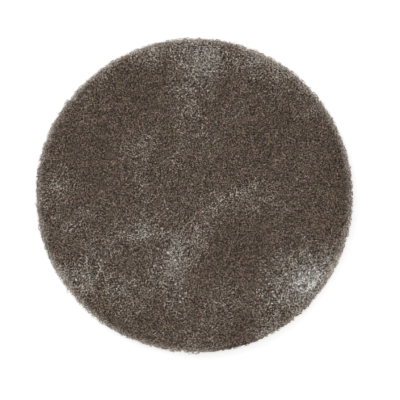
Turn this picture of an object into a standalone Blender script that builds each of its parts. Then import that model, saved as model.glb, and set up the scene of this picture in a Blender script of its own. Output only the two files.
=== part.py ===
"""Non-woven abrasive disc, 150 mm across and 6 mm thick, lying flat with its back on z = 0.

The disc is one piece: a lofty web of crimped fibres in grit-loaded resin, die-cut to a circle. Its back
is flat. Its face is lumpy with tufts, sags at the spots where the web ran thin, and is open there in small
gaps that go right through. The cut edge is rounded over at the face, ragged with fibre ends and slightly
out of round, as a soft web is when a die cuts it.

Lengths are in metres. +Z is up, and +X and +Y are the right and the top of the face for someone who looks
down on it.
"""

import math
import random
from dataclasses import dataclass

import bmesh
import bpy
from mathutils import Matrix, Vector, geometry, noise

# The disc
DISC_DIAMETER = 0.150
WEB_THICKNESS = 0.006  # from the back to the top of the highest tuft

# The cut edge
FACE_EDGE_ROUND = 0.0018
FACE_EDGE_STEPS = 2
BACK_EDGE_BREAK = 0.0005
CUT_RAGGEDNESS = 0.0004  # how far one fibre end stands in or out of the cut
SWELL_RISE = 0.0006  # the most that the cut stands in or out of the true circle

# The lumps of the face
TUFT_DEPTH = 0.0014  # from the top of a tuft to the hollow beside it
TUFT_SPACING = 0.0072
LOFT_SWING = 0.0006  # the slower rise and fall of the whole face
LOFT_SPACING = 0.033
GRAIN_DEPTH = 0.0010  # the unevenness from one crossing of fibres to the next

# The largest thin spot
SPOT_LENGTH = 0.030
SPOT_WIDTH = 0.020
SPOT_SAG = 0.0019

# The gaps of the thin spots
GAP_WIDTH = 0.0021
GAP_BACK_WIDTH = 0.0016
GAP_STRETCH = 1.7  # the longest gap's length over its width
GAP_CORNERS = 6
STRAND_WIDTH = 0.0011  # the least web between two gaps
RIM_STRAND = 0.0028  # the least web between a gap and the cut edge

# The distance between two points of the face, and the seed of everything irregular
FACET = 0.0027
WEB_SEED = 7

# The finish
WEB_COLOUR = (0.100, 0.077, 0.061, 1.0)
WEB_ROUGHNESS = 0.92


@dataclass(frozen=True)
class EdgeSwell:
    """A stretch of the cut edge that stands out of the true circle, or in where rise is below zero."""

    direction: float  # degrees, anticlockwise from +X
    spread: float  # degrees
    rise: float  # where 1 is a full SWELL_RISE

    def rise_at(self, angle):
        """How far this swell moves the edge at an angle in radians."""
        away = math.remainder(angle - math.radians(self.direction), math.tau) / math.radians(self.spread)
        return SWELL_RISE * self.rise * math.exp(-away * away)


@dataclass(frozen=True)
class ThinSpot:
    """A spot where the web ran thin: an ellipse that sags by some depth and is open in gaps."""

    direction: float  # degrees, anticlockwise from +X
    reach: float  # from the centre, where 1 is the disc's edge
    turn: float  # degrees from +X to the long side
    long: float  # where 1 is a full SPOT_LENGTH
    wide: float  # where 1 is a full SPOT_WIDTH
    deep: float  # where 1 is a full SPOT_SAG
    openness: float  # the size of its gaps, where 1 is a full GAP_WIDTH

    def centre(self):
        """The middle of the spot."""
        way = math.radians(self.direction)
        return Vector((math.cos(way), math.sin(way))) * self.reach * DISC_DIAMETER / 2

    def half_length(self):
        """From the middle to an end of the ellipse."""
        return SPOT_LENGTH * self.long / 2

    def half_width(self):
        """From the middle to a side of the ellipse."""
        return SPOT_WIDTH * self.wide / 2

    def long_side(self):
        """The direction of the ellipse's long axis."""
        turn = math.radians(self.turn)
        return Vector((math.cos(turn), math.sin(turn)))

    def place(self, along, across):
        """The point that lies this far along and across the spot from its middle."""
        return self.centre() + self.long_side() * along + self.long_side().orthogonal() * across

    def depth_in(self, point):
        """How deep a point is in the spot: 1 in the middle, 0.37 on the ellipse, and less outside it."""
        offset = point - self.centre()
        along = offset.dot(self.long_side()) / self.half_length()
        across = offset.dot(self.long_side().orthogonal()) / self.half_width()
        return math.exp(-along * along - across * across)

    def holds(self, point):
        """Whether a point is inside the ellipse."""
        return self.depth_in(point) > math.exp(-1.0)


@dataclass(frozen=True)
class Gap:
    """A small opening right through the web, longer than it is wide and uneven in outline."""

    centre: Vector
    corners: tuple  # from the centre to each corner, at the face

    def outline(self, share):
        """The corners of the gap at a depth where it has this share of its size at the face."""
        return [self.centre + corner * share for corner in self.corners]

    def reach(self):
        """How far the gap reaches from its centre."""
        return max(corner.length for corner in self.corners)

    def clear_of(self, other):
        """Whether enough web is left between this gap and another."""
        return (self.centre - other.centre).length > STRAND_WIDTH + self.reach() + other.reach()

    def clear_of_edge(self):
        """Whether enough web is left between this gap and the cut edge."""
        edge = edge_radius(math.atan2(self.centre.y, self.centre.x))
        return self.centre.length + self.reach() + RIM_STRAND < edge


EDGE_SWELLS = (
    EdgeSwell(direction=-105, spread=26, rise=-1.0),
    EdgeSwell(direction=-45, spread=30, rise=0.5),
    EdgeSwell(direction=105, spread=34, rise=-0.3),
    EdgeSwell(direction=165, spread=22, rise=0.8),
)

THIN_SPOTS = (
    ThinSpot(direction=-37, reach=0.88, turn=50, long=0.97, wide=1.05, deep=1.00, openness=1.00),
    ThinSpot(direction=87, reach=0.81, turn=92, long=1.03, wide=0.65, deep=0.53, openness=0.75),
    ThinSpot(direction=-111, reach=0.43, turn=44, long=0.93, wide=0.45, deep=0.53, openness=0.80),
    ThinSpot(direction=-143, reach=0.35, turn=-35, long=0.50, wide=0.50, deep=0.47, openness=0.72),
    ThinSpot(direction=-144, reach=0.87, turn=35, long=0.57, wide=0.55, deep=0.53, openness=0.75),
    ThinSpot(direction=63, reach=0.88, turn=58, long=0.43, wide=0.45, deep=0.42, openness=0.66),
    ThinSpot(direction=-51, reach=0.78, turn=-60, long=0.60, wide=0.55, deep=0.42, openness=0.66),
    ThinSpot(direction=-127, reach=0.79, turn=60, long=0.40, wide=0.45, deep=0.37, openness=0.62),
    ThinSpot(direction=-98, reach=0.60, turn=80, long=0.47, wide=0.40, deep=0.37, openness=0.66),
)


def edge_radius(angle):
    """The cut edge's distance from the centre, at an angle in radians."""
    return DISC_DIAMETER / 2 + sum(item.rise_at(angle) for item in EDGE_SWELLS)


def edge_points(inset, count, chance):
    """The cut edge's outline, this far inside the cut, with some points of it a little in or out."""
    points = []
    for step in range(count):
        angle = math.tau * step / count
        radius = edge_radius(angle) - inset + chance.uniform(-0.5, 0.5) * CUT_RAGGEDNESS
        points.append(Vector((math.cos(angle), math.sin(angle))) * radius)
    return points


def hollow(point, spacing):
    """An uneven field of this spacing, from about 0 on the lumps to about 1 in the hollows between them."""
    return 0.5 - 0.5 * noise.noise(Vector((point.x, point.y, WEB_SEED * spacing)) / spacing)


def face_height(point, chance):
    """The height of the face over the back, before the highest tuft is set to the web's thickness."""
    grain = GRAIN_DEPTH * chance.random()
    tuft = TUFT_DEPTH * hollow(point, TUFT_SPACING)
    loft = LOFT_SWING * hollow(point, LOFT_SPACING)
    sag = SPOT_SAG * max(spot.deep * spot.depth_in(point) for spot in THIN_SPOTS)
    return WEB_THICKNESS - grain - tuft - loft - sag


def triangular_grid(half_length, half_width, spacing):
    """The points of an even triangular grid round (0, 0) that fill a rectangle, as pairs of numbers."""
    row_step = spacing * math.sin(math.radians(60))
    rows = math.ceil(half_width / row_step)
    columns = math.ceil(half_length / spacing) + 1
    for row in range(-rows, rows + 1):
        shift = spacing / 2 if row % 2 else 0.0
        for column in range(-columns, columns + 1):
            yield column * spacing + shift, row * row_step


def gap_at(centre, openness, chance):
    """A gap with its own uneven outline."""
    half_width = GAP_WIDTH / 2 * openness * chance.uniform(0.75, 1.0)
    half_length = half_width * chance.uniform(1.0, GAP_STRETCH)
    turn = Matrix.Rotation(chance.uniform(0.0, math.tau), 2)
    corners = []
    for corner in range(GAP_CORNERS):
        angle = math.tau * (corner + chance.uniform(-0.15, 0.15)) / GAP_CORNERS
        share = chance.uniform(0.80, 1.0)
        corners.append(turn @ Vector((half_length * math.cos(angle), half_width * math.sin(angle))) * share)
    return Gap(centre, tuple(corners))


def make_gaps(chance):
    """The gaps of all thin spots, with enough web left between them and along the cut edge."""
    gaps = []
    jitter = STRAND_WIDTH / 2
    for spot in THIN_SPOTS:
        for along, across in triangular_grid(spot.half_length(), spot.half_width(), GAP_WIDTH + STRAND_WIDTH):
            shift = chance.uniform(-jitter, jitter), chance.uniform(-jitter, jitter)
            centre = spot.place(along + shift[0], across + shift[1])
            gap = gap_at(centre, spot.openness, chance)
            if spot.holds(centre) and gap.clear_of_edge() and all(gap.clear_of(other) for other in gaps):
                gaps.append(gap)
    return gaps


def field_points(gaps, chance):
    """The points that carry the face's lumps, clear of the cut edge and of every gap."""
    points = []
    jitter = FACET / 6
    for x, y in triangular_grid(DISC_DIAMETER / 2, DISC_DIAMETER / 2, FACET):
        point = Vector((x + chance.uniform(-jitter, jitter), y + chance.uniform(-jitter, jitter)))
        face_edge = edge_radius(math.atan2(point.y, point.x)) - FACE_EDGE_ROUND
        off_gaps = all((point - gap.centre).length > gap.reach() + FACET / 3 for gap in gaps)
        if point.length < face_edge - FACET / 2 and off_gaps:
            points.append(point)
    return points


def loop_edges(start, count):
    """The edges of a closed loop of points with numbers from start."""
    return [(start + step, start + (step + 1) % count) for step in range(count)]


def triangulated(rim, outlines, inner):
    """Fills the rim with triangles, apart from the outlines, and returns the points and the triangles.

    The points keep the order in which they come in: the rim, then each outline, then the inner points.
    """
    points = list(rim)
    edges = loop_edges(0, len(rim))
    owner = {}
    for number, outline in enumerate(outlines):
        start = len(points)
        owner.update({start + step: number for step in range(len(outline))})
        edges += loop_edges(start, len(outline))
        points += outline
    points += inner
    inside_edges_only = 1
    triangles = geometry.delaunay_2d_cdt(points, edges, [], inside_edges_only, FACET / 10000)[2]
    return points, [corners for corners in triangles if not in_one_outline(corners, owner)]


def in_one_outline(corners, owner):
    """Whether a triangle's corners are all on the same outline, so that the triangle lies inside it."""
    owners = {owner.get(corner) for corner in corners}
    return len(owners) == 1 and None not in owners


def band(bm, lower, upper):
    """Closes the wall between two loops of equally many vertices."""
    count = len(lower)
    for step in range(count):
        after = (step + 1) % count
        bm.faces.new((lower[step], lower[after], upper[after], upper[step]))


def rounded_edge_rings(bm, count, chance):
    """The rings of vertices of the rounded part of the cut edge, from its upright wall to near the face."""
    rings = []
    for step in range(FACE_EDGE_STEPS):
        turn = math.radians(90) * step / FACE_EDGE_STEPS
        inset = FACE_EDGE_ROUND * (1 - math.cos(turn))
        drop = FACE_EDGE_ROUND * (1 - math.sin(turn))
        ring = []
        for point in edge_points(inset, count, chance):
            ring.append(bm.verts.new((point.x, point.y, face_height(point, chance) - drop)))
        rings.append(ring)
    return rings


def web_mesh():
    """The disc's closed surface."""
    chance = random.Random(WEB_SEED)
    gaps = make_gaps(chance)
    count = round(math.pi * DISC_DIAMETER / FACET)
    back_share = GAP_BACK_WIDTH / GAP_WIDTH
    face_rim = edge_points(FACE_EDGE_ROUND, count, chance)
    back_rim = edge_points(BACK_EDGE_BREAK, count, chance)
    face_gaps = [gap.outline(1.0) for gap in gaps]
    back_gaps = [gap.outline(back_share) for gap in gaps]
    face_points, face_triangles = triangulated(face_rim, face_gaps, field_points(gaps, chance))
    back_points, back_triangles = triangulated(back_rim, back_gaps, [])

    bm = bmesh.new()
    face = [bm.verts.new((point.x, point.y, face_height(point, chance))) for point in face_points]
    back = [bm.verts.new((point.x, point.y, 0.0)) for point in back_points]
    foot_points = edge_points(0.0, count, chance)
    foot = [bm.verts.new((point.x, point.y, BACK_EDGE_BREAK)) for point in foot_points]
    round_rings = rounded_edge_rings(bm, count, chance)
    for corners in face_triangles:
        bm.faces.new([face[corner] for corner in corners])
    for corners in back_triangles:
        bm.faces.new([back[corner] for corner in corners])
    loops = [back[:count], foot, *round_rings, face[:count]]
    for lower, upper in zip(loops, loops[1:]):
        band(bm, lower, upper)
    for number in range(len(gaps)):
        start = count + number * GAP_CORNERS
        band(bm, back[start : start + GAP_CORNERS], face[start : start + GAP_CORNERS])

    lift_to_thickness(bm, face + [vert for ring in round_rings for vert in ring])
    centre_on_origin(bm)
    bmesh.ops.triangulate(bm, faces=bm.faces)
    bmesh.ops.recalc_face_normals(bm, faces=bm.faces)
    mesh = bpy.data.meshes.new("web_disc")
    bm.to_mesh(mesh)
    bm.free()
    return mesh


def lift_to_thickness(bm, upper):
    """Raises the upper vertices together until the highest tuft is at the web's thickness."""
    rise = WEB_THICKNESS - max(vert.co.z for vert in upper)
    bmesh.ops.translate(bm, verts=upper, vec=(0.0, 0.0, rise))


def centre_on_origin(bm):
    """Slides the disc until the middle of its outline's box is over the origin."""
    lowest = Vector((min(vert.co.x for vert in bm.verts), min(vert.co.y for vert in bm.verts), 0.0))
    highest = Vector((max(vert.co.x for vert in bm.verts), max(vert.co.y for vert in bm.verts), 0.0))
    bmesh.ops.translate(bm, verts=bm.verts, vec=-(lowest + highest) / 2)


def web_material():
    """The brown, grit-loaded resin that coats every fibre."""
    material = bpy.data.materials.new("abrasive_web")
    material.use_nodes = True
    shader = material.node_tree.nodes["Principled BSDF"]
    shader.inputs["Base Color"].default_value = WEB_COLOUR
    shader.inputs["Roughness"].default_value = WEB_ROUGHNESS
    shader.inputs["Metallic"].default_value = 0.0
    material.diffuse_color = WEB_COLOUR
    return material


def main():
    """Clears the scene and builds the disc."""
    for old in list(bpy.data.objects):
        bpy.data.objects.remove(old, do_unlink=True)
    mesh = web_mesh()
    mesh.shade_smooth()
    mesh.materials.append(web_material())
    disc = bpy.data.objects.new("web_disc", mesh)
    bpy.context.scene.collection.objects.link(disc)


main()
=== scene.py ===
"""Dresses the non-woven abrasive disc: a web of curled, resin-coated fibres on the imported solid's own form.

The disc is one lofty web. Its inside is matted so closely that single fibres can't be told apart, and
that is one piece, made from the solid's own mesh and drawn in a little under its faces. Over it, under it
and round its cut edge lie thousands of curled fibres, in five pieces. Geometry Nodes make both. All lengths
are in metres.
"""

import logging
import math
from dataclasses import dataclass
from enum import Enum

import bmesh
import bpy
import numpy as np
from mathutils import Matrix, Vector
from mathutils.bvhtree import BVHTree

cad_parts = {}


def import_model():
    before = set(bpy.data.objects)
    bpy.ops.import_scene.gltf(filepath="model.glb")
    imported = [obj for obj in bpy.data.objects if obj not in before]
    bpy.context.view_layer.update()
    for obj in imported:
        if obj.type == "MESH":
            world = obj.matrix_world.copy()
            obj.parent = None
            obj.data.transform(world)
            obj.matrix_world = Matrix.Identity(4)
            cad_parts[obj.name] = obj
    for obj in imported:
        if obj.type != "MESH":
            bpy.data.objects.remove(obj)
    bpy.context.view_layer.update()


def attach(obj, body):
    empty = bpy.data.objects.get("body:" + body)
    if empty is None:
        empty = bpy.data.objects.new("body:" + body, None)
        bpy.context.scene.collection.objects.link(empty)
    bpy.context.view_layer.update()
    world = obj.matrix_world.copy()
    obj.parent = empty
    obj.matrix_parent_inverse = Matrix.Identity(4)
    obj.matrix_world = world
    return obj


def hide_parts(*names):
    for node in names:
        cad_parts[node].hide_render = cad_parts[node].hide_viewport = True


LOG = logging.getLogger("abrasive_disc")

NODE = "web_disc"
BODY = "root"
BAKE_MAP = "OFBake"

# The photograph: where the disc's outline lies in it, in pixels
PHOTO_SIDE = 400
DISC_CENTRE = (194.1, 194.4)
DISC_RADIUS_PIXELS = 157.4
# How far out the outline is seen, a little inside the longest fibre ends
OUTLINE_RADIUS = 0.0746
# The radius that the core's thin spots are laid out on
NOMINAL_RADIUS = 0.075
# How many sides a fibre's tube has, and how many cells high its strip of the map is
SIDES = 3
# The faint casts that drift over the brown
OLIVE_CAST = (0.973, 1.015, 0.955, 1)
MAUVE_CAST = (1.027, 0.983, 1.03, 1)


class Layer(Enum):
    """Where in the web a batch of fibres lies."""

    FACE = "cover"
    EDGE = "rim"
    BACK = "under"


@dataclass(frozen=True)
class ThinSpot:
    """A spot where the web ran thin, or came out denser where the strength is below zero.

    Angles are in degrees, anticlockwise from +X. The reach is a share of the disc's radius. The solid has
    its gaps under the strongest of them.
    """

    direction: float
    reach: float
    turn: float
    half_length: float
    half_width: float
    strength: float

    def depth_in(self, x: np.ndarray, y: np.ndarray, radius: float) -> np.ndarray:
        """Says how thin the web is at some points.

        Args:
            x: The points' x.
            y: The points' y.
            radius: The disc's radius.

        Returns:
            From 0, far off, to the spot's strength in its middle.
        """
        way, turn = math.radians(self.direction), math.radians(self.turn)
        off_x = x - math.cos(way) * self.reach * radius
        off_y = y - math.sin(way) * self.reach * radius
        along = (off_x * math.cos(turn) + off_y * math.sin(turn)) / self.half_length
        across = (off_y * math.cos(turn) - off_x * math.sin(turn)) / self.half_width
        return self.strength * np.exp(-along * along - across * across)


# The broad thin spots, then the dense ones, and last the small faint ones of either kind. Each row gives
# the fields of a ThinSpot in their order.
SPOT_ROWS = (
    (-37, 0.90, 50, 0.0160, 0.0116, 0.91),
    (88, 0.87, 86, 0.0170, 0.0102, 0.58),
    (-106, 0.42, 56, 0.0195, 0.0088, 0.48),
    (-146, 0.35, -35, 0.0110, 0.0090, 0.30),
    (-146, 0.92, 40, 0.0160, 0.0092, 0.52),
    (65, 0.95, -20, 0.0145, 0.0085, 0.56),
    (-57, 0.80, 40, 0.0130, 0.0100, 0.21),
    (-126, 0.80, 60, 0.0105, 0.0088, 0.28),
    (-77, 0.71, 60, 0.0125, 0.0085, 0.20),
    (105, 0.96, 15, 0.0130, 0.0070, 0.56),
    (-178, 0.96, 85, 0.0110, 0.0070, 0.26),
    (-4, 0.34, 10, 0.0192, 0.0096, 0.19),
    (46, 0.94, -44, 0.0105, 0.0080, 0.24),
    (146, 0.38, 80, 0.0140, 0.0096, 0.32),
    (80, 0.38, 60, 0.0150, 0.0120, 0.15),
    (-88, 0.94, 0, 0.0110, 0.0070, 0.30),
    (-167, 0.80, 70, 0.0120, 0.0085, 0.20),
    (-146, 0.62, 30, 0.0120, 0.0100, 0.24),
    (-99, 0.64, 60, 0.0100, 0.0085, 0.19),
    (-62, 0.95, 30, 0.0075, 0.0055, 0.38),
    (-53, 0.21, 30, 0.0100, 0.0090, 0.10),
    (-42, 0.65, 40, 0.0080, 0.0070, 0.12),
    (11, 0.96, 99, 0.0200, 0.0080, -0.50),
    (33, 0.61, 0, 0.0130, 0.0120, -0.27),
    (120, 0.75, 30, 0.0120, 0.0120, -0.26),
    (-135, 0.75, 30, 0.0065, 0.0055, -0.14),
    (76, 0.68, 70, 0.0110, 0.0060, -0.18),
    (-44, 0.40, 0, 0.0120, 0.0110, -0.22),
    (159, 0.72, 0, 0.0120, 0.0110, -0.20),
    (-51, 0.93, 35, 0.0070, 0.0055, -0.22),
    (-153, 0.82, 0, 0.0100, 0.0070, -0.27),
    (-52, 0.70, 40, 0.0070, 0.0060, -0.16),
    (-88, 0.68, 0, 0.0070, 0.0060, -0.12),
    (-86, 0.44, 0, 0.0080, 0.0070, -0.16),
    (-10, 0.78, 0, 0.0110, 0.0100, -0.12),
    (-69, 0.88, 20, 0.0070, 0.0100, -0.20),
    (-79, 0.98, 11, 0.0120, 0.0050, -0.20),
    (-124, 0.96, -34, 0.0110, 0.0055, -0.20),
    (-110, 0.63, 0, 0.0065, 0.0065, -0.24),
    (172, 0.79, 80, 0.0090, 0.0070, 0.14),
    (-43, 0.95, 47, 0.0090, 0.0045, 0.10),
    (84, 0.80, 80, 0.0075, 0.0075, 0.12),
    (-28, 0.80, 60, 0.0070, 0.0060, -0.12),
    (-119, 0.29, 0, 0.0070, 0.0065, -0.12),
    (176, 0.38, 80, 0.0080, 0.0070, -0.14),
    (96, 0.85, 90, 0.0060, 0.0060, -0.14),
    (124, 0.95, 34, 0.0110, 0.0060, 0.14),
    (141, 0.95, 51, 0.0080, 0.0060, 0.10),
    (-175, 0.79, 0, 0.0070, 0.0060, -0.12),
    (132, 0.33, 50, 0.0120, 0.0060, -0.12),
    (99, 0.65, 80, 0.0070, 0.0060, 0.12),
    (-162, 0.65, 0, 0.0070, 0.0070, 0.12),
)
THIN_SPOTS = tuple(ThinSpot(*row) for row in SPOT_ROWS)
# Where the cut edge is paler or, below zero, darker: direction and spread in degrees, then the change. This
# is partly the real pale cut ends and partly painted light: a painted rim highlight on some sides and painted
# shade on the lower right, away from the key light.
EDGE_LIGHT_AND_PALENESS = (
    (14, 18, 0.55),
    (75, 20, 0.30),
    (105, 16, 0.15),
    (135, 20, 0.55),
    (225, 18, 0.70),
    (255, 14, 0.25),
    (288, 16, -0.90),
    (316, 14, -0.45),
)


def edge_paleness_and_light(x: np.ndarray, y: np.ndarray) -> np.ndarray:
    """Says how pale the cut edge is in the direction of some points: pale fibre ends, with a painted rim
    highlight and painted shade.

    Args:
        x: The points' x.
        y: The points' y.

    Returns:
        About 1, more where the ends are paler.
    """
    way = np.degrees(np.arctan2(y, x))
    paleness = np.ones_like(way)
    for middle, spread, change in EDGE_LIGHT_AND_PALENESS:
        off = (way - middle + 180) % 360 - 180
        paleness += change * np.exp(-((off / spread) ** 2))
    return paleness


def pulled(items: object, name: str, width: int = 1, kind: type = np.float32) -> np.ndarray:
    """Reads one property of every item in a mesh's collection.

    Args:
        items: The collection.
        name: The property.
        width: How many numbers each item has.
        kind: Their type.

    Returns:
        All the numbers, in one row, or in a row for each item where they are several.
    """
    values = np.empty(len(items) * width, kind)
    items.foreach_get(name, values)
    return values.reshape(-1, width) if width > 1 else values


class Net:
    """A node tree that is built line by line."""

    def __init__(self, tree: bpy.types.NodeTree) -> None:
        """Takes a tree to build in.

        Args:
            tree: The node tree.
        """
        self.tree = tree

    @classmethod
    def within(cls, owner: bpy.types.ID) -> "Net":
        """Empties the node tree of a material or a world, to build in.

        Args:
            owner: The material or the world.

        Returns:
            The empty tree.
        """
        owner.use_nodes = True
        owner.node_tree.nodes.clear()
        return cls(owner.node_tree)

    def node(self, kind: str, inputs: dict | None = None, **settings: object) -> bpy.types.Node:
        """Adds a node, sets its properties and fills its inputs.

        Args:
            kind: The node's type.
            inputs: For an input's name or number, a socket to link from or a plain value.
            **settings: The node's own properties.

        Returns:
            The node.
        """
        made = self.tree.nodes.new(kind)
        for name, value in settings.items():
            setattr(made, name, value)
        for key, value in (inputs or {}).items():
            if isinstance(value, bpy.types.NodeSocket):
                self.tree.links.new(value, made.inputs[key])
            else:
                made.inputs[key].default_value = value
        return made

    def math(self, operation: str, *terms: object, clamp: bool = False) -> bpy.types.NodeSocket:
        """Adds a sum on plain numbers.

        Args:
            operation: Blender's name for it.
            *terms: Sockets or numbers.
            clamp: Whether the result is kept from 0 to 1.

        Returns:
            The result.
        """
        made = self.node("ShaderNodeMath", dict(enumerate(terms)), operation=operation, use_clamp=clamp)
        return made.outputs[0]

    def vector(self, operation: str, *terms: object) -> bpy.types.NodeSocket:
        """Adds a sum on vectors.

        Args:
            operation: Blender's name for it.
            *terms: Sockets or triples. With SCALE, the second term is a number.

        Returns:
            The result.
        """
        keys = (0, "Scale") if operation == "SCALE" else range(len(terms))
        made = self.node("ShaderNodeVectorMath", dict(zip(keys, terms)), operation=operation)
        return made.outputs["Value" if operation == "LENGTH" else "Vector"]

    def point(self, x: object, y: object, z: object) -> bpy.types.NodeSocket:
        """Puts three numbers together.

        Args:
            x: The first.
            y: The second.
            z: The third.

        Returns:
            The vector.
        """
        return self.node("ShaderNodeCombineXYZ", {"X": x, "Y": y, "Z": z}).outputs[0]

    def remap(
        self, value: object, low: float, high: float, to_low: float, to_high: float
    ) -> bpy.types.NodeSocket:
        """Maps a range of numbers to another, smoothly, and keeps the result inside it.

        Args:
            value: The number.
            low: What becomes to_low.
            high: What becomes to_high.
            to_low: The first end of the new range.
            to_high: The other end of the new range.

        Returns:
            The result.
        """
        limits = {0: value, 1: low, 2: high, 3: to_low, 4: to_high}
        return self.node("ShaderNodeMapRange", limits, interpolation_type="SMOOTHSTEP").outputs[0]

    def noise(
        self, place: object, size: float, detail: float = 2.0, bend: float = 0.0
    ) -> bpy.types.NodeSocket:
        """Adds a cloud noise.

        Args:
            place: Where it is read.
            size: How wide one cloud is.
            detail: How many finer layers it has.
            bend: How far it is distorted.

        Returns:
            From about 0.25 to about 0.75.
        """
        inputs = {"Vector": place, "Scale": 1.0 / size, "Detail": detail, "Distortion": bend}
        return self.node("ShaderNodeTexNoise", inputs).outputs[0]


class Recipe(Net):
    """A Geometry Nodes tree with named inputs."""

    def __init__(self, name: str) -> None:
        """Starts a tree with one geometry input and one geometry output.

        Args:
            name: The tree's name.
        """
        super().__init__(bpy.data.node_groups.new(name, "GeometryNodeTree"))
        self.values: dict[str, object] = {}
        self.tree.interface.new_socket("Geometry", in_out="INPUT", socket_type="NodeSocketGeometry")
        self.tree.interface.new_socket("Geometry", in_out="OUTPUT", socket_type="NodeSocketGeometry")
        self.source = self.node("NodeGroupInput")
        self.sink = self.node("NodeGroupOutput")

    def ask(self, name: str, kind: str, value: object) -> bpy.types.NodeSocket:
        """Adds a named input.

        Args:
            name: The input's name.
            kind: Its type: Float, Int, String or Material.
            value: What the modifier sets it to.

        Returns:
            The socket to link from.
        """
        socket = self.tree.interface.new_socket(name, in_out="INPUT", socket_type=f"NodeSocket{kind}")
        self.values[socket.identifier] = value
        return self.source.outputs[name]

    def read(self, name: object) -> bpy.types.NodeSocket:
        """Reads a number that is stored on the geometry.

        Args:
            name: The attribute's name.

        Returns:
            Its value.
        """
        return self.node("GeometryNodeInputNamedAttribute", {"Name": name}, data_type="FLOAT").outputs[0]

    def store(self, geometry: object, name: str, value: object) -> bpy.types.NodeSocket:
        """Stores a number on the geometry's points.

        Args:
            geometry: The geometry.
            name: The attribute's name.
            value: Its value.

        Returns:
            The geometry with the attribute.
        """
        inputs = {"Geometry": geometry, "Name": name, "Value": value}
        settings = {"data_type": "FLOAT", "domain": "POINT"}
        return self.node("GeometryNodeStoreNamedAttribute", inputs, **settings).outputs[0]

    def chance(self, low: object, high: object, seed: object, turn: int) -> bpy.types.NodeSocket:
        """Draws a number for each point.

        Args:
            low: The least value.
            high: The greatest value.
            seed: The batch's seed.
            turn: Which of the batch's draws this is.

        Returns:
            The number.
        """
        mixed = self.math("ADD", seed, turn * 17)
        # Inputs 2 and 3 are the limits of a plain number, and 8 is the seed.
        return self.node("FunctionNodeRandomValue", {2: low, 3: high, 8: mixed}, data_type="FLOAT").outputs[1]

    def grow(
        self, name: str, base: bpy.types.Mesh, result: object, material: bpy.types.Material
    ) -> bpy.types.Object:
        """Ends the tree, runs it on a mesh and keeps the result as a plain mesh.

        Args:
            name: The new piece's name.
            base: The mesh that the tree starts from.
            result: The geometry that the tree makes.
            material: The piece's material.

        Returns:
            The piece, at the origin.
        """
        real = self.node("GeometryNodeRealizeInstances", {"Geometry": result}).outputs[0]
        finish = self.ask("Material", "Material", material)
        dressed = self.node("GeometryNodeSetMaterial", {"Geometry": real, "Material": finish}).outputs[0]
        self.tree.links.new(dressed, self.sink.inputs[0])
        carrier = bpy.data.objects.new(f"{name}_carrier", base)
        bpy.context.scene.collection.objects.link(carrier)
        modifier = carrier.modifiers.new("recipe", "NODES")
        modifier.node_group = self.tree
        for identifier, value in self.values.items():
            modifier[identifier] = value
        shown = carrier.evaluated_get(bpy.context.evaluated_depsgraph_get())
        mesh = bpy.data.meshes.new_from_object(shown)
        mesh.name = name
        bpy.data.objects.remove(carrier, do_unlink=True)
        piece = bpy.data.objects.new(name, mesh)
        bpy.context.scene.collection.objects.link(piece)
        return piece


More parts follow.
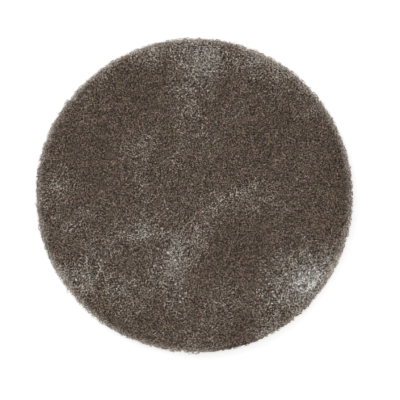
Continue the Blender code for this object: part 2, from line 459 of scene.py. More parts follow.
@dataclass(frozen=True)
class WebFinish:
    """How resin-coated web looks. Colours are linear, and sizes are how wide one cloud of a noise is."""

    name: str
    dark: tuple[float, float, float]
    light: tuple[float, float, float]
    # The colour of the pale specks and glints, partly painted light shining through the thin web
    pale: tuple[float, float, float]
    tan: tuple[float, float, float]
    clearing: float
    grit: float = 0.00030
    matting: float = 0.00062
    blotch: float = 0.0060
    drift: float = 0.0085
    bump: float = 0.00008
    bump_strength: float = 0.8
    specular: float = 0.35
    speck_from: float = 0.617
    speck_gain: float = 19.0
    # Where the painted glints on the grit start, and how sharply
    painted_glint_from: float = 0.62
    painted_glint_gain: float = 14.0

    def build(self) -> bpy.types.Material:
        """Makes the material.

        Returns:
            The material.
        """
        material = bpy.data.materials.new(self.name)
        net = Net.within(material)
        place = net.node("ShaderNodeTexCoord").outputs["Object"]
        shade = net.node("ShaderNodeAttribute", attribute_name="shade").outputs["Fac"]
        thin = net.node("ShaderNodeAttribute", attribute_name="thin").outputs["Fac"]
        cut = net.node("ShaderNodeAttribute", attribute_name="cut").outputs["Fac"]
        grit = net.noise(place, self.grit, 2.0)
        mat = net.noise(place, self.matting, 1.5, 0.6)
        blotch = net.noise(place, self.blotch, 2.0)
        hue = net.noise(net.vector("ADD", place, (0.37, 0.11, 0.0)), self.blotch * 0.8, 1.0)

        # How light the web is: by the fibre, the matting, the dense spots, the blotches and the grit.
        # A noise lies between about 0.3 and 0.7, and each remap turns that into a share of light.
        level = net.math("MULTIPLY", net.math("POWER", shade, 2.0), 0.38)
        level = net.math("ADD", level, net.remap(mat, 0.38, 0.68, -0.47, 1.32))
        level = net.math("ADD", level, net.math("MULTIPLY", net.math("MINIMUM", thin, 0.0), 0.50))
        level = net.math("ADD", level, net.remap(blotch, 0.32, 0.68, -0.05, 0.06))
        grain = net.math("MULTIPLY_ADD", net.math("MAXIMUM", thin, 0.0), 1.2, 0.80)
        level = net.math("MULTIPLY_ADD", net.remap(grit, 0.35, 0.65, -0.33, 0.45), grain, level, clamp=True)
        body = self.mixed(net, level, (*self.dark, 1), (*self.light, 1))

        # Olive and mauve casts, faint and wide
        side = net.remap(hue, 0.35, 0.65, 0.0, 1.0)
        cast = self.mixed(net, side, OLIVE_CAST, MAUVE_CAST)
        tinted = self.mixed(net, 1.0, body, cast, "MULTIPLY")

        # Pale specks, more and lighter where the web is thin, with ragged drifts: partly paler fibre and
        # partly painted light, standing for light that shines through the thin web
        drift = net.noise(net.vector("ADD", place, (0.0, 0.23, 0.0)), self.drift, 3.0)
        thin = net.math("MULTIPLY", thin, net.remap(drift, 0.34, 0.66, 0.65, 1.30))
        thin = net.math("ADD", thin, net.remap(drift, 0.46, 0.72, 0.0, 0.16))
        speck = net.math("MULTIPLY_ADD", net.math("MINIMUM", thin, 0.45), 0.285, mat)
        speck = net.math("SUBTRACT", speck, self.speck_from)
        speck = net.math("MULTIPLY", speck, self.speck_gain, clamp=True)
        weight = net.math("MINIMUM", net.math("MULTIPLY_ADD", thin, self.clearing, 0.20), 1.0)
        weight = net.math("MULTIPLY", weight, net.remap(grit, 0.38, 0.62, 0.60, 1.30))
        weight = net.math("MULTIPLY", weight, net.remap(shade, 0.0, 0.8, 0.55, 1.35))
        speck = net.math("MULTIPLY", speck, weight, clamp=True)
        # Painted highlights: sparse pale glints on the grit, partly paler grains and partly painted sparkle,
        # more of them where the web is thin
        painted_glint = net.math("SUBTRACT", grit, self.painted_glint_from)
        painted_glint = net.math("MULTIPLY", painted_glint, self.painted_glint_gain, clamp=True)
        painted_glint_reach = net.math("MULTIPLY_ADD", net.math("MAXIMUM", thin, 0.0), 0.9, 0.42)
        speck = net.math("MAXIMUM", speck, net.math("MULTIPLY", painted_glint, painted_glint_reach, clamp=True))
        washed = self.mixed(net, speck, tinted, (*self.pale, 1))

        # Tan along the cut edge, more of it where the web is thin: partly pale cut fibre ends, partly a
        # painted highlight where the rounded edge catches the light
        ends = net.math("MULTIPLY", cut, net.remap(mat, 0.40, 0.60, 0.22, 1.0))
        ends = net.math("MULTIPLY", ends, net.math("MULTIPLY_ADD", shade, 1.2, 0.50), clamp=True)
        ends = net.math("MULTIPLY", ends, net.math("MAXIMUM", net.math("ADD", thin, 0.80), 0.70), clamp=True)
        colour = self.mixed(net, ends, washed, (*self.tan, 1))

        rough = net.remap(grit, 0.30, 0.70, 0.78, 0.96)
        height = net.math("ADD", grit, net.math("MULTIPLY", mat, 1.5))
        raised = {"Height": height, "Distance": self.bump, "Strength": self.bump_strength}
        bump = net.node("ShaderNodeBump", raised)
        surface = {"Base Color": colour, "Roughness": rough, "Normal": bump.outputs[0]}
        shader = net.node("ShaderNodeBsdfPrincipled", {**surface, "Specular IOR Level": self.specular})
        net.node("ShaderNodeOutputMaterial", {"Surface": shader.outputs[0]})
        return material

    def mixed(self, net: Net, share: object, first: object, second: object, way: str = "MIX") -> object:
        """Mixes two colours.

        Args:
            net: The node tree.
            share: How much of the second.
            first: A socket or a colour.
            second: A socket or a colour.
            way: Blender's name for how they mix.

        Returns:
            The mixed colour's socket.
        """
        # Inputs 6 and 7 are the colours, and output 2 is the mixed colour.
        inputs = {0: share, 6: first, 7: second}
        return net.node("ShaderNodeMix", inputs, data_type="RGBA", blend_type=way).outputs[2]


# The core's colours are darker than the strands': painted shade for the depths of the web between and under
# the fibres
MATTED_AND_SHADED = WebFinish(
    name="matted_web",
    dark=(0.031, 0.0210, 0.0154),
    light=(0.225, 0.1555, 0.1135),
    pale=(0.690, 0.630, 0.562),
    tan=(0.600, 0.520, 0.440),
    clearing=1.10,
)
STRANDS = WebFinish(
    name="coated_fibre",
    dark=(0.040, 0.0273, 0.0202),
    light=(0.430, 0.310, 0.228),
    pale=(0.900, 0.825, 0.740),
    tan=(0.850, 0.770, 0.680),
    clearing=2.80,
)


@dataclass(frozen=True)
class Solid:
    """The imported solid, read from above and from the side."""

    tree: BVHTree
    top: float
    radius: float

    @classmethod
    def read(cls, name: str) -> "Solid":
        """Reads a node's mesh.

        Args:
            name: The node.

        Returns:
            The solid.
        """
        mesh = bpy.data.objects[name].data
        points = [vertex.co.copy() for vertex in mesh.vertices]
        tree = BVHTree.FromPolygons(points, [tuple(face.vertices) for face in mesh.polygons])
        return cls(tree, max(p.z for p in points), max(math.hypot(p.x, p.y) for p in points))

    def edge_at(self, way: float, height: float = 0.0024) -> float:
        """Finds the cut edge.

        Args:
            way: The direction from the middle, in radians.
            height: How far above the back.

        Returns:
            How far out the edge is.
        """
        start = Vector((2 * self.radius * math.cos(way), 2 * self.radius * math.sin(way), height))
        hit = self.tree.ray_cast(start, Vector((-math.cos(way), -math.sin(way), 0.0)))
        return math.hypot(hit[0].x, hit[0].y) if hit[0] else self.radius

    def height_at(self, x: float, y: float) -> float:
        """Finds the face's height.

        Args:
            x: The point's x.
            y: The point's y.

        Returns:
            The height, or not a number over a gap.
        """
        hit = self.tree.ray_cast(Vector((x, y, 2 * self.top)), Vector((0.0, 0.0, -1.0)))
        return hit[0].z if hit[0] else math.nan


@dataclass(frozen=True)
class Bed:
    """The ground that the fibres are laid on: the disc's face with its gaps bridged, on a grid of rings."""

    solid: Solid
    rings: int = 52
    spokes: int = 260
    edge_band: float = 0.0030
    band_fade: float = 0.0006
    inset: float = 0.0002
    strands_in_spots: float = 0.45
    strands_in_gaps: float = 0.55
    thinning: float = 0.30

    def build(self) -> bpy.types.Mesh:
        """Makes the ground.

        Returns:
            A mesh up to the cut edge, with the densities and the thinness as attributes.
        """
        ways = np.linspace(0, 2 * math.pi, self.spokes, endpoint=False)
        edges = np.array([self.solid.edge_at(way) for way in ways])
        shares = (np.arange(1, self.rings + 1) / self.rings)[:, None]
        reach = shares * edges[None, :]
        x, y = reach * np.cos(ways), reach * np.sin(ways)
        # Heights are read a little inside the cut edge, so that no ray misses the face.
        probe = np.minimum(1.0, (edges[None, :] - self.inset) / np.maximum(reach, 1e-6))
        height = np.vectorize(self.solid.height_at)(x * probe, y * probe)
        gaps = self.widened(np.isnan(height))
        while np.isnan(height).any():
            height = self.bridged(height)

        thin = sum(spot.depth_in(x, y, self.solid.radius) for spot in THIN_SPOTS)
        rim = np.clip((reach - edges[None, :] + self.edge_band) / self.band_fade, 0, 1)
        rim = np.maximum(rim, self.strands_in_spots * np.clip(thin, 0, 1) ** 2)
        rim = np.maximum(rim, self.strands_in_gaps * gaps)
        middle = float(np.mean(height[0]))
        points = np.vstack([[[0.0, 0.0, middle]], np.dstack([x, y, height]).reshape(-1, 3)])
        mesh = bpy.data.meshes.new("fibre_bed")
        mesh.from_pydata(points.tolist(), [], self.faces())
        cover = 1 - self.thinning * np.clip(thin, 0, 1)
        stored = {"thin": thin, "rim": rim, "cover": cover, "under": np.ones_like(thin)}
        stored["paleness"] = edge_paleness_and_light(x, y)
        for name, values in stored.items():
            layer = mesh.attributes.new(name, "FLOAT", "POINT")
            layer.data.foreach_set("value", np.concatenate([[values[0].mean()], values.ravel()]))
        mesh.update()
        return mesh

    def around(self, values: np.ndarray) -> np.ndarray:
        """Lists what the four neighbours of each point hold.

        Args:
            values: The points' values.

        Returns:
            Four grids of values.
        """
        padded = np.pad(np.pad(values, ((0, 0), (1, 1)), mode="wrap"), ((1, 1), (0, 0)), mode="edge")
        return np.stack([padded[:-2, 1:-1], padded[2:, 1:-1], padded[1:-1, :-2], padded[1:-1, 2:]])

    def widened(self, gaps: np.ndarray) -> np.ndarray:
        """Marks the points over a gap and next to one, where strands cross the web's whole depth.

        Args:
            gaps: Whether each point is over a gap.

        Returns:
            From 0 to 1.
        """
        return np.maximum(gaps, self.around(gaps).any(axis=0)).astype(float)

    def bridged(self, height: np.ndarray) -> np.ndarray:
        """Fills the unknown heights that have a known neighbour.

        Args:
            height: The heights, some not a number.

        Returns:
            The heights with fewer unknown.
        """
        around = self.around(height)
        known = (~np.isnan(around)).sum(axis=0)
        mean = np.nansum(around, axis=0) / np.maximum(known, 1)
        return np.where(np.isnan(height) & (known > 0), mean, height)

    def faces(self) -> list[tuple[int, ...]]:
        """Lists the ground's faces.

        Returns:
            The middle's triangles, then the rings' quads.
        """
        def at(ring: int, spoke: int) -> int:
            """Numbers the point where a ring and a spoke cross."""
            return 1 + ring * self.spokes + spoke % self.spokes

        middle = [(0, at(0, s), at(0, s + 1)) for s in range(self.spokes)]
        rest = [
            (at(r, s), at(r + 1, s), at(r + 1, s + 1), at(r, s + 1))
            for r in range(self.rings - 1)
            for s in range(self.spokes)
        ]
        return middle + rest


@dataclass(frozen=True)
class FibreBatch:
    """One piece of curled fibres."""

    name: str
    layer: Layer
    density: float
    seed: int
    span: float = 0.0062
    curl: float = 0.00055
    wave: float = 0.0025
    radius: float = 0.00016
    steps: int = 17
    drop: float = 0.00045
    stray: float = 0.008
    sway: float = 0.00022
    sway_pace: float = 0.7
    ray_height: float = 0.02
    least_depth: float = 0.00008
    least_height: float = 0.00031
    back_height: float = 0.0002
    lump: float = 0.0012
    pale_from: float = 0.0714
    pale_to: float = 0.0748

    def build(self, bed: bpy.types.Mesh, finish: bpy.types.Material) -> bpy.types.Object:
        """Lays the fibres.

        Args:
            bed: The ground.
            finish: Their material.

        Returns:
            The piece, with a map for baking.
        """
        recipe = Recipe(self.name)
        asked = {
            "Density": recipe.ask("Density", "Float", self.density),
            "Where": recipe.ask("Where", "String", self.layer.value),
            "Span": recipe.ask("Span", "Float", self.span),
            "Curl": recipe.ask("Curl", "Float", self.curl),
            "Wave": recipe.ask("Wave", "Float", self.wave),
            "Radius": recipe.ask("Radius", "Float", self.radius),
            "Drop": recipe.ask("Drop", "Float", self.drop),
            "Seed": recipe.ask("Seed", "Int", self.seed),
        }
        ground = recipe.source.outputs["Geometry"]
        lines = self.scattered(recipe, ground, asked)
        curled = self.curled(recipe, ground, lines, asked)
        tubes = self.tubes(recipe, curled, asked)
        piece = recipe.grow(self.name, bed, tubes, finish)
        strip_map(piece.data)
        return piece

    def scattered(self, recipe: Recipe, ground: object, asked: dict) -> bpy.types.NodeSocket:
        """Sets out one straight line of points for each fibre.

        Args:
            recipe: The tree.
            ground: The ground.
            asked: The tree's inputs.

        Returns:
            The lines, each still at one place, with the fibre's own numbers on it.
        """
        density = recipe.math("MULTIPLY", asked["Density"], recipe.read(asked["Where"]))
        scatter = {"Mesh": ground, "Density": density, "Seed": asked["Seed"]}
        points = recipe.node("GeometryNodeDistributePointsOnFaces", scatter).outputs[0]
        draws = {
            "heading": (0.0, 2 * math.pi),
            "bend": (-1.6, 1.6),
            "length": (0.6, 1.35),
            "loop": (0.45, 1.35),
            "pitch": (0.75, 1.35),
            "phase": (0.0, 2 * math.pi),
            "depth": (0.0, 1.0),
            "shade": (0.0, 1.0),
            "girth": (0.70, 1.30),
            "stray": (-1.0, 1.0),
        }
        for turn, (name, limits) in enumerate(draws.items()):
            points = recipe.store(points, name, recipe.chance(*limits, asked["Seed"], turn + 1))
        straight = {"Count": self.steps, "Offset": (0.0, 0.0, 0.0)}
        line = recipe.node("GeometryNodeMeshLine", straight).outputs[0]
        index = recipe.node("GeometryNodeInputIndex").outputs[0]
        line = recipe.store(line, "step", recipe.math("DIVIDE", index, float(self.steps - 1)))
        placed = recipe.node("GeometryNodeInstanceOnPoints", {"Points": points, "Instance": line}).outputs[0]
        return recipe.node("GeometryNodeRealizeInstances", {"Geometry": placed}).outputs[0]

    def curled(self, recipe: Recipe, ground: object, lines: object, asked: dict) -> bpy.types.NodeSocket:
        """Draws each line out into a crimped, bending fibre that follows the ground.

        Args:
            recipe: The tree.
            ground: The ground.
            lines: The lines.
            asked: The tree's inputs.

        Returns:
            The fibres, cut off at the disc's edge.
        """
        middle = recipe.math("SUBTRACT", recipe.read("step"), 0.5)
        turned = recipe.math("MULTIPLY", recipe.read("bend"), middle)
        heading = recipe.math("ADD", recipe.read("heading"), turned)
        cosine, sine = recipe.math("COSINE", heading), recipe.math("SINE", heading)
        run = recipe.math("MULTIPLY", middle, recipe.math("MULTIPLY", asked["Span"], recipe.read("length")))
        wave = recipe.math("MULTIPLY", asked["Wave"], recipe.read("pitch"))
        angle = recipe.math("MULTIPLY", recipe.math("DIVIDE", run, wave), 2 * math.pi)
        angle = recipe.math("ADD", angle, recipe.read("phase"))
        loop = recipe.math("MULTIPLY", asked["Curl"], recipe.read("loop"))
        along = recipe.math("ADD", run, recipe.math("MULTIPLY", loop, recipe.math("COSINE", angle)))
        across = recipe.math("MULTIPLY", loop, recipe.math("SINE", angle))
        backward = recipe.math("MULTIPLY", across, -1.0)
        shift_x = recipe.math("MULTIPLY_ADD", along, cosine, recipe.math("MULTIPLY", backward, sine))
        shift_y = recipe.math("MULTIPLY_ADD", along, sine, recipe.math("MULTIPLY", across, cosine))
        home = recipe.node("GeometryNodeInputPosition").outputs[0]
        flat = recipe.vector("MULTIPLY", home, (1.0, 1.0, 0.0))
        course = recipe.vector("ADD", flat, recipe.point(shift_x, shift_y, 0.0))
        # A stray fibre reads the ground a little further in, and so ends past the cut edge.
        stray = recipe.math("MAXIMUM", recipe.read("stray"), 0.0)
        draw_in = recipe.math("MULTIPLY_ADD", stray, -self.stray, 1.0)
        aim = recipe.vector("ADD", recipe.vector("SCALE", course, draw_in), (0.0, 0.0, self.ray_height))
        hit = recipe.node("GeometryNodeRaycast", {"Target Geometry": ground, "Source Position": aim})
        face = recipe.node("ShaderNodeSeparateXYZ", {0: hit.outputs["Hit Position"]}).outputs["Z"]

        depth = recipe.read("depth")
        sway = recipe.math("SINE", recipe.math("MULTIPLY", angle, self.sway_pace))
        sway = recipe.math("MULTIPLY", sway, self.sway)
        sunk = recipe.math("MULTIPLY", depth, asked["Drop"])
        if self.layer is Layer.FACE:
            level = recipe.math("SUBTRACT", recipe.math("ADD", face, sway), sunk)
        elif self.layer is Layer.BACK:
            level = recipe.math("ADD", recipe.math("ADD", sway, sunk), self.back_height)
        else:
            # The fibres of the edge fill its height, short of both faces.
            share = recipe.math("MULTIPLY_ADD", depth, 0.84, 0.08)
            level = recipe.math("MULTIPLY_ADD", face, share, sway)
        level = recipe.math("MINIMUM", level, recipe.math("SUBTRACT", face, self.least_depth))
        level = recipe.math("MAXIMUM", level, self.least_height)

        spot = recipe.vector("ADD", course, recipe.point(0.0, 0.0, level))
        # The mark comes first, because a point that has moved would send its ray elsewhere.
        marked = recipe.store(lines, "inside", hit.outputs["Is Hit"])
        placed = recipe.node("GeometryNodeSetPosition", {"Geometry": marked, "Position": spot}).outputs[0]
        outside = {"Geometry": placed, "Selection": recipe.math("LESS_THAN", recipe.read("inside"), 0.5)}
        return recipe.node("GeometryNodeDeleteGeometry", outside, domain="POINT").outputs[0]

    def tubes(self, recipe: Recipe, lines: object, asked: dict) -> bpy.types.NodeSocket:
        """Gives the fibres their thickness.

        Args:
            recipe: The tree.
            lines: The fibres as lines.
            asked: The tree's inputs.

        Returns:
            Three-sided tubes with closed ends and with marks for the map.
        """
        curves = recipe.node("GeometryNodeMeshToCurve", {"Mesh": lines}).outputs[0]
        count = recipe.node("GeometryNodeSplineLength").outputs["Point Count"]
        short = {"Geometry": curves, "Selection": recipe.math("LESS_THAN", count, 2.5)}
        curves = recipe.node("GeometryNodeDeleteGeometry", short, domain="CURVE").outputs[0]
        index = recipe.node("GeometryNodeSplineParameter").outputs["Index"]
        curves = recipe.store(curves, "ring", index)
        place = recipe.node("GeometryNodeInputPosition").outputs[0]
        flat = recipe.vector("LENGTH", recipe.vector("MULTIPLY", place, (1.0, 1.0, 0.0)))
        # Near the cut edge the fibres are marked for pale ends, with a painted rim highlight and painted
        # shade by direction
        near = recipe.remap(flat, self.pale_from, self.pale_to, 0.0, 1.0)
        cut = recipe.math("MULTIPLY", near, recipe.read("paleness"))
        curves = recipe.store(curves, "cut", cut)
        lumps = recipe.remap(recipe.noise(place, self.lump), 0.30, 0.70, 0.72, 1.35)
        girth = recipe.math("MULTIPLY", recipe.math("MULTIPLY", asked["Radius"], recipe.read("girth")), lumps)
        round_shape = {"Resolution": SIDES, "Radius": 1.0}
        sides = recipe.node("GeometryNodeCurvePrimitiveCircle", round_shape).outputs[0]
        number = recipe.node("GeometryNodeInputIndex").outputs[0]
        sides = recipe.store(sides, "side", number)
        shape = {"Curve": curves, "Profile Curve": sides, "Scale": girth, "Fill Caps": True}
        return recipe.node("GeometryNodeCurveToMesh", shape).outputs[0]


def strip_map(mesh: bpy.types.Mesh) -> None:
    """Gives a piece of tubes its map for baking: one strip for each fibre, as high as its three sides.

    Args:
        mesh: The tubes, with the attributes ring and side.
    """
    ring = pulled(mesh.attributes["ring"].data, "value").round().astype(int)
    side = pulled(mesh.attributes["side"].data, "value").round().astype(int)
    fibre = np.concatenate([[0], np.cumsum(ring[1:] < ring[:-1])])
    steps = np.zeros(fibre[-1] + 1, int)
    np.maximum.at(steps, fibre, ring)

    # Each fibre takes its steps and a cell at either end for its caps, in rows of the same width.
    width = steps + 2
    spare, stretch = 1.02, 2.2
    columns = max(int(math.ceil(math.sqrt(width.sum() * spare * SIDES / stretch))), int(width.max()))
    start, row = np.zeros_like(width), np.zeros_like(width)
    column, line = 0, 0
    for number, cells in enumerate(width.tolist()):
        if column + cells > columns:
            column, line = 0, line + 1
        start[number], row[number] = column, line
        column += cells

    corners = pulled(mesh.loops, "vertex_index", kind=np.int32)
    sizes = pulled(mesh.polygons, "loop_total", kind=np.int32)
    face = np.repeat(np.arange(len(sizes)), sizes)
    least, most = np.full(len(sizes), 99), np.full(len(sizes), -1)
    np.minimum.at(least, face, side[corners])
    np.maximum.at(most, face, side[corners])
    # A quad from the last side to the first ends below the last side, not back at the top.
    wraps = (most - least == SIDES - 1)[face] & (side[corners] == 0) & (sizes == 4)[face]
    down = side[corners] + SIDES * wraps
    over = ring[corners] + 1.0
    # A cap is a triangle a little inside its cell.
    cap = (sizes == 3)[face]
    first = cap & (ring[corners] == 0)
    over = np.where(first, 0.08 + 0.8 * (side[corners] == 1), over)
    over = np.where(cap & ~first, ring[corners] + 1.12 + 0.8 * (side[corners] == 1), over)
    down = np.where(cap, side[corners] * 1.4 + 0.1, down)
    owner = fibre[corners]
    u = (start[owner] + over) / columns
    margin = 0.06
    v = (row[owner] * SIDES + np.clip(down, margin, SIDES - margin)) / (SIDES * (line + 1))
    layer = mesh.uv_layers.new(name=BAKE_MAP)
    layer.data.foreach_set("uv", np.column_stack([u, v]).astype(np.float32).ravel())
    mesh.polygons.foreach_set("use_smooth", sizes == 4)


@dataclass(frozen=True)
class MattedCore:
    """The matted inside of the web: the solid's own mesh, made finer, drawn in and roughened."""

    name: str = "matted_web"
    cuts: int = 3
    sink: float = 0.00055
    tuck: float = 0.00030
    relief: float = 0.00055
    knot: float = 0.0016
    ridge: float = 0.16
    cell: float = 0.0011
    closed: float = 0.78
    opening: float = 0.50
    crumb: int = 60
    lowest: float = 0.00012
    pale_from: float = 0.0716
    pale_depth: float = 0.0032

    def build(self, source: bpy.types.Object, finish: bpy.types.Material) -> bpy.types.Object:
        """Makes the core.

        Args:
            source: The solid.
            finish: Its material.

        Returns:
            The piece, with a map for baking.
        """
        base = self.finer(source)
        self.mark(base)
        recipe = Recipe(self.name)
        sink = recipe.ask("Sink", "Float", self.sink)
        tuck = recipe.ask("Tuck", "Float", self.tuck)
        relief = recipe.ask("Relief", "Float", self.relief)
        knot = recipe.ask("Knot size", "Float", self.knot)
        mesh = recipe.source.outputs["Geometry"]
        place = recipe.node("GeometryNodeInputPosition").outputs[0]
        spread = recipe.node("ShaderNodeSeparateXYZ", {0: recipe.node("GeometryNodeInputNormal").outputs[0]})
        scale = recipe.math("DIVIDE", 1.0, knot)
        inputs = {"Vector": place, "Scale": scale, "Detail": 2.0, "Distortion": 0.8}
        cloud = recipe.node("ShaderNodeTexNoise", inputs).outputs[0]
        ridge = recipe.math("ABSOLUTE", recipe.math("SUBTRACT", cloud, 0.5))
        dip = recipe.math("MULTIPLY", recipe.remap(ridge, 0.0, self.ridge, 0.0, 1.0), relief)
        # Walls are tucked in at the cut edge, and hardly at all round the gaps further in.
        trim = recipe.math("MULTIPLY_ADD", recipe.read("edge"), 2.5, 0.1)
        inward = recipe.math("MULTIPLY", recipe.math("MULTIPLY", tuck, trim), -1.0)
        lowered = recipe.math("MULTIPLY", recipe.math("ADD", sink, dip), spread.outputs["Z"])
        lowered = recipe.math("MULTIPLY", lowered, -1.0)
        home = recipe.node("ShaderNodeSeparateXYZ", {0: place})
        spot = recipe.point(
            recipe.math("MULTIPLY_ADD", spread.outputs["X"], inward, home.outputs["X"]),
            recipe.math("MULTIPLY_ADD", spread.outputs["Y"], inward, home.outputs["Y"]),
            recipe.math("MAXIMUM", recipe.math("ADD", home.outputs["Z"], lowered), self.lowest),
        )
        moved = recipe.node("GeometryNodeSetPosition", {"Geometry": mesh, "Position": spot}).outputs[0]
        gone = {"Geometry": moved, "Selection": self.open_cells(recipe, place)}
        kept = recipe.node("GeometryNodeDeleteGeometry", gone, domain="FACE").outputs[0]
        piece = recipe.grow(self.name, base, kept, finish)
        self.drop_crumbs(piece.data)
        self.map(piece.data)
        return piece

    def finer(self, source: bpy.types.Object) -> bpy.types.Mesh:
        """Copies the solid's mesh, merges it, and cuts each triangle into smaller ones.

        Args:
            source: The solid.

        Returns:
            The finer mesh.
        """
        shape = bmesh.new()
        shape.from_mesh(source.data)
        bmesh.ops.remove_doubles(shape, verts=shape.verts[:], dist=1e-6)
        bmesh.ops.triangulate(shape, faces=shape.faces[:])
        bmesh.ops.subdivide_edges(shape, edges=shape.edges[:], cuts=self.cuts, use_grid_fill=True)
        mesh = bpy.data.meshes.new(f"{self.name}_base")
        shape.to_mesh(mesh)
        shape.free()
        return mesh

    def drop_crumbs(self, mesh: bpy.types.Mesh) -> None:
        """Removes the crumbs that the open cells would leave in the air.

        Args:
            mesh: The core.
        """
        shape = bmesh.new()
        shape.from_mesh(mesh)
        shape.verts.index_update()
        seen = bytearray(len(shape.verts))
        crumbs = []
        for first in shape.verts:
            if seen[first.index]:
                continue
            seen[first.index] = 1
            island = [first]
            for vertex in island:
                others = (edge.other_vert(vertex) for edge in vertex.link_edges)
                for other in others:
                    if not seen[other.index]:
                        seen[other.index] = 1
                        island.append(other)
            if len(island) < self.crumb:
                crumbs += island
        bmesh.ops.delete(shape, geom=crumbs, context="VERTS")
        shape.to_mesh(mesh)
        shape.free()

    def open_cells(self, recipe: Recipe, place: object) -> bpy.types.NodeSocket:
        """Picks the cells where the thin web lets light through.

        Args:
            recipe: The tree.
            place: Where each face is.

        Returns:
            Whether a face is left out.
        """
        flat = recipe.vector("MULTIPLY", place, (1.0, 1.0, 0.0))
        cloud = recipe.noise(flat, self.cell, 1.0)
        thin = recipe.math("POWER", recipe.read("thin"), 2.0)
        limit = recipe.math("SUBTRACT", self.closed, recipe.math("MULTIPLY", thin, self.opening))
        return recipe.math("GREATER_THAN", cloud, limit)

    def mark(self, mesh: bpy.types.Mesh) -> None:
        """Stores the thinness, the nearness of the cut edge and its paleness, with the painted rim highlight
        and painted shade in it, and a middling fibre tone.

        Args:
            mesh: The mesh to mark.
        """
        x, y, _ = pulled(mesh.vertices, "co", 3).T
        thin = sum(spot.depth_in(x, y, NOMINAL_RADIUS) for spot in THIN_SPOTS)
        edge = np.clip((np.hypot(x, y) - self.pale_from) / self.pale_depth, 0, 1)
        middling = np.full(len(x), 0.5)
        stored = {"thin": thin, "edge": edge, "cut": edge * edge_paleness_and_light(x, y), "shade": middling}
        for name, values in stored.items():
            layer = mesh.attributes.new(name, "FLOAT", "POINT")
            layer.data.foreach_set("value", values.astype(np.float32))

    def map(self, mesh: bpy.types.Mesh) -> None:
        """Lays the face and the back out flat in the map's upper half, and the walls in cells below them.

        Args:
            mesh: The core.
        """
        corners = pulled(mesh.loops, "vertex_index", kind=np.int32)
        sizes = pulled(mesh.polygons, "loop_total", kind=np.int32)
        tilt = pulled(mesh.polygons, "normal", 3)[:, 2]
        face = np.repeat(np.arange(len(sizes)), sizes)
        order = np.arange(len(corners)) - np.repeat(np.cumsum(sizes) - sizes, sizes)
        x, y, _ = pulled(mesh.vertices, "co", 3)[corners].T
        # The face fills the upper left quarter and the back, turned over, the upper right one.
        span, share, steep = 0.154, 0.49, 0.2
        u = 0.25 + x / span * share
        v = 0.75 + y / span * share
        back = (tilt < -steep)[face]
        u = np.where(back, 0.75 - x / span * share, u)
        wall = np.abs(tilt) <= steep
        number = np.cumsum(wall) - 1
        across = int(math.ceil(math.sqrt(wall.sum() * 2)))
        cell = 1.0 / max(across, 1)
        cell_x, cell_y = number % across, number // across
        on_wall = wall[face]
        low, high = 0.12, 0.88
        shape = np.array([[low, low], [high, low], [low, high], [high, high]])[np.minimum(order, 3)]
        u = np.where(on_wall, (cell_x[face] + shape[:, 0]) * cell, u)
        v = np.where(on_wall, (cell_y[face] + shape[:, 1]) * cell * 0.98, v)
        layer = mesh.uv_layers.new(name=BAKE_MAP)
        layer.data.foreach_set("uv", np.column_stack([u, v]).astype(np.float32).ravel())
        mesh.polygons.foreach_set("use_smooth", np.ones(len(sizes), bool))


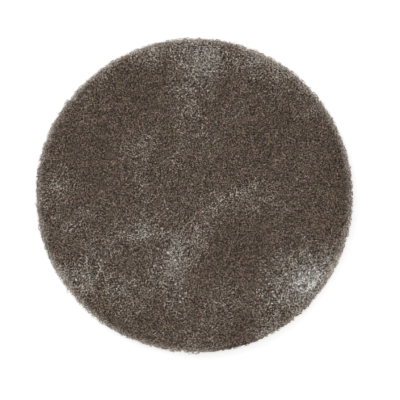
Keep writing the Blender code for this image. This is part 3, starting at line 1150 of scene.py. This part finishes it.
@dataclass(frozen=True)
class Studio:
    """The floor, the lamps, the world and the camera."""

    lens: float = 120.0
    sensor: float = 36.0
    tilt: float = 3.0
    key_place: tuple[float, float, float] = (-1.05, 1.15, 0.85)
    key_side: float = 1.3
    key_watts: float = 12.5
    fill_place: tuple[float, float, float] = (0.9, -0.6, 1.2)
    fill_side: float = 1.4
    fill_watts: float = 2.5
    world: float = 0.64
    floor_half: float = 2.5
    floor_grey: float = 0.66
    floor_glow: float = 0.56

    def build(self, target: Vector, radius: float) -> None:
        """Sets the scene round the disc.

        Args:
            target: The middle of the disc.
            radius: The disc's radius.
        """
        self.floor()
        self.lamp("key_light", self.key_watts, self.key_side, Vector(self.key_place), target)
        self.lamp("fill_light", self.fill_watts, self.fill_side, Vector(self.fill_place), target)
        world = bpy.data.worlds.new("studio")
        net = Net.within(world)
        strength = net.math("MAXIMUM", self.seen(net), self.world)
        sky = net.node("ShaderNodeBackground", {"Color": (1, 1, 1, 1), "Strength": strength})
        net.node("ShaderNodeOutputWorld", {"Surface": sky.outputs[0]})
        bpy.context.scene.world = world
        self.camera(target, radius)
        bpy.context.scene.view_settings.view_transform = "Standard"

    def seen(self, net: Net) -> bpy.types.NodeSocket:
        """Tells the rays that show a surface from the rays that light one.

        Args:
            net: The node tree.

        Returns:
            1 for a camera, glossy or transmission ray, and otherwise 0.
        """
        rays = net.node("ShaderNodeLightPath")
        seen = net.math("MAXIMUM", rays.outputs["Is Camera Ray"], rays.outputs["Is Glossy Ray"])
        return net.math("MAXIMUM", seen, rays.outputs["Is Transmission Ray"])

    def floor(self) -> None:
        """Lays a white floor that keeps the disc's shadow."""
        mesh = bpy.data.meshes.new("studio_floor")
        half = self.floor_half
        corners = [(-half, -half, 0), (half, -half, 0), (half, half, 0), (-half, half, 0)]
        mesh.from_pydata(corners, [], [(0, 1, 2, 3)])
        floor = bpy.data.objects.new("studio_floor", mesh)
        bpy.context.scene.collection.objects.link(floor)
        material = bpy.data.materials.new("studio_floor")
        net = Net.within(material)
        seen = self.seen(net)
        grey = self.floor_grey
        lit = net.node("ShaderNodeBsdfDiffuse", {"Color": (grey, grey, grey, 1)})
        shown = net.math("MULTIPLY", seen, self.floor_glow)
        glow = net.node("ShaderNodeEmission", {"Color": (1, 1, 1, 1), "Strength": shown})
        both = net.node("ShaderNodeAddShader", {0: lit.outputs[0], 1: glow.outputs[0]})
        net.node("ShaderNodeOutputMaterial", {"Surface": both.outputs[0]})
        mesh.materials.append(material)

    def lamp(self, name: str, watts: float, size: float, place: Vector, target: Vector) -> None:
        """Hangs a square soft lamp.

        Args:
            name: Its name.
            watts: Its power.
            size: Its side.
            place: Where it hangs.
            target: What it points at.
        """
        light = bpy.data.lights.new(name, "AREA")
        light.energy = watts
        light.size = size
        lamp = bpy.data.objects.new(name, light)
        lamp.location = place
        lamp.rotation_euler = (target - place).to_track_quat("-Z", "Y").to_euler()
        bpy.context.scene.collection.objects.link(lamp)

    def camera(self, target: Vector, radius: float) -> None:
        """Looks almost straight down with a long lens, so that the disc fills the photograph's place.

        Args:
            target: The middle of the disc's face.
            radius: The disc's radius.
        """
        scale = radius / DISC_RADIUS_PIXELS
        away = self.lens / self.sensor * PHOTO_SIDE * scale
        middle = PHOTO_SIDE / 2
        aim = target + Vector(((middle - DISC_CENTRE[0]) * scale, (DISC_CENTRE[1] - middle) * scale, 0))
        lean = math.radians(self.tilt)
        data = bpy.data.cameras.new("photo_camera")
        data.lens = self.lens
        data.sensor_width = self.sensor
        camera = bpy.data.objects.new("photo_camera", data)
        camera.location = aim + Vector((0, -math.sin(lean), math.cos(lean))) * away
        camera.rotation_euler = (lean, 0, 0)
        bpy.context.scene.collection.objects.link(camera)
        bpy.context.scene.camera = camera


BATCHES = (
    FibreBatch("face_fibres_under", Layer.FACE, 110_000, seed=11, drop=0.00080),
    FibreBatch("face_fibres_middle", Layer.FACE, 110_000, seed=19, drop=0.00055),
    FibreBatch("face_fibres_over", Layer.FACE, 110_000, seed=23, drop=0.00030),
    FibreBatch("edge_fibres", Layer.EDGE, 900_000, seed=37, span=0.0042, steps=12),
    FibreBatch("back_fibres", Layer.BACK, 55_000, seed=41, drop=0.00040),
)


def main() -> None:
    """Dresses the disc and sets the scene."""
    logging.basicConfig(level=logging.INFO, format="%(name)s: %(message)s")
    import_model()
    source = bpy.data.objects[NODE]
    solid = Solid.read(NODE)
    bed = Bed(solid).build()
    pieces = [MattedCore().build(source, MATTED_AND_SHADED.build())]
    strands = STRANDS.build()
    pieces += [batch.build(bed, strands) for batch in BATCHES]
    for piece in pieces:
        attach(piece, BODY)
        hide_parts(NODE)
        piece.data.calc_loop_triangles()
        LOG.info("%s: %d triangles", piece.name, len(piece.data.loop_triangles))
    bpy.data.meshes.remove(bed)
    Studio().build(Vector((0, 0, 0.4 * solid.top)), OUTLINE_RADIUS)


if __name__ == "__main__":
    main()
